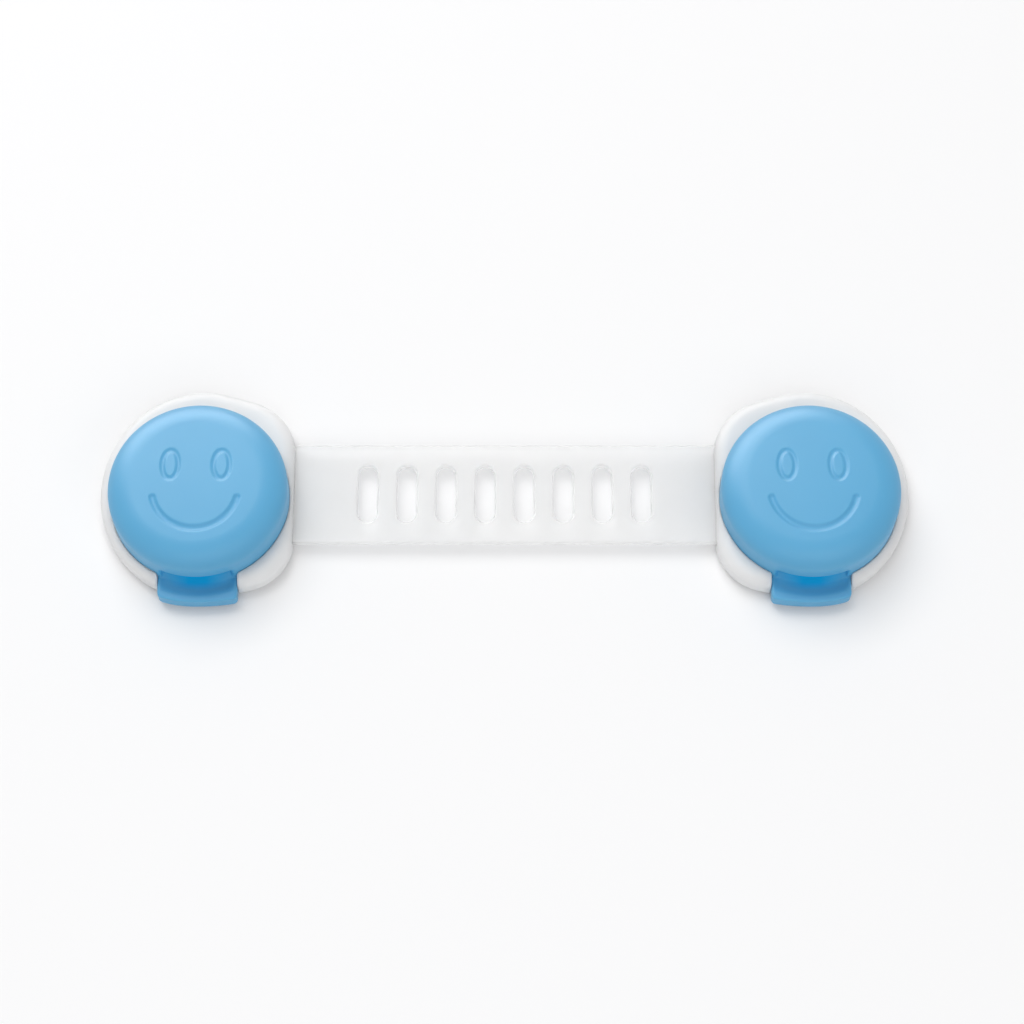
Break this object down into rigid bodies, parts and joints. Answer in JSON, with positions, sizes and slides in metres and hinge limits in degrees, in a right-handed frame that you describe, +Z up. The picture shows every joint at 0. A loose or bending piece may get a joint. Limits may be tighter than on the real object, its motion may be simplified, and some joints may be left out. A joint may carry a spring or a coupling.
{
  "type": "child safety strap lock",
  "caption": "Stick-on child safety lock: two low round heads with hinged finger-tab lids, joined by a flat slotted strap that pegs into each head.",
  "frame": {"origin": "centre of the lock's footprint, on the surface that its adhesive faces lie on", "axes": "+X along the strap from the left head to the right head, +Y from the finger tabs towards the hinges, +Z up out of the adhesive faces"},
  "size_m": [0.1808, 0.0509, 0.0172],
  "materials": {
    "shell_plastic": "satin milky white moulded plastic",
    "strap_plastic": "satin milky white flexible plastic",
    "lid_plastic": "glossy light blue moulded plastic",
    "pin_steel": "drawn wire",
    "pad_foam": "white closed-cell foam",
    "liner_paper": "waxed release paper"
  },
  "bodies": {
    "left_head": {"left_base": "shell_plastic", "left_hinge_pin": "pin_steel", "left_adhesive_pad": "pad_foam", "left_release_liner": "liner_paper", "strap": "strap_plastic"},
    "left_lid": {"left_lid": "lid_plastic"},
    "right_head": {"right_base": "shell_plastic", "right_hinge_pin": "pin_steel", "right_adhesive_pad": "pad_foam", "right_release_liner": "liner_paper"},
    "right_lid": {"right_lid": "lid_plastic"}
  },
  "joints": [
    {"name": "left_lid_hinge", "type": "hinge", "parent": "left_head", "child": "left_lid", "pos_m": [-0.06775, 0.0181, 0.0082], "axis": [-1, 0, 0], "range_deg": [0, 100]},
    {"name": "strap_flex", "type": "hinge", "parent": "left_head", "child": "right_head", "pos_m": [0, 0.00065, 0.00305], "axis": [0, -1, 0], "range_deg": [0, 90], "stiffness_Nm_per_rad": 0.02, "deforming": ["strap"]},
    {"name": "right_lid_hinge", "type": "hinge", "parent": "right_head", "child": "right_lid", "pos_m": [0.06775, 0.0181, 0.0082], "axis": [-1, 0, 0], "range_deg": [0, 100]}
  ]
}
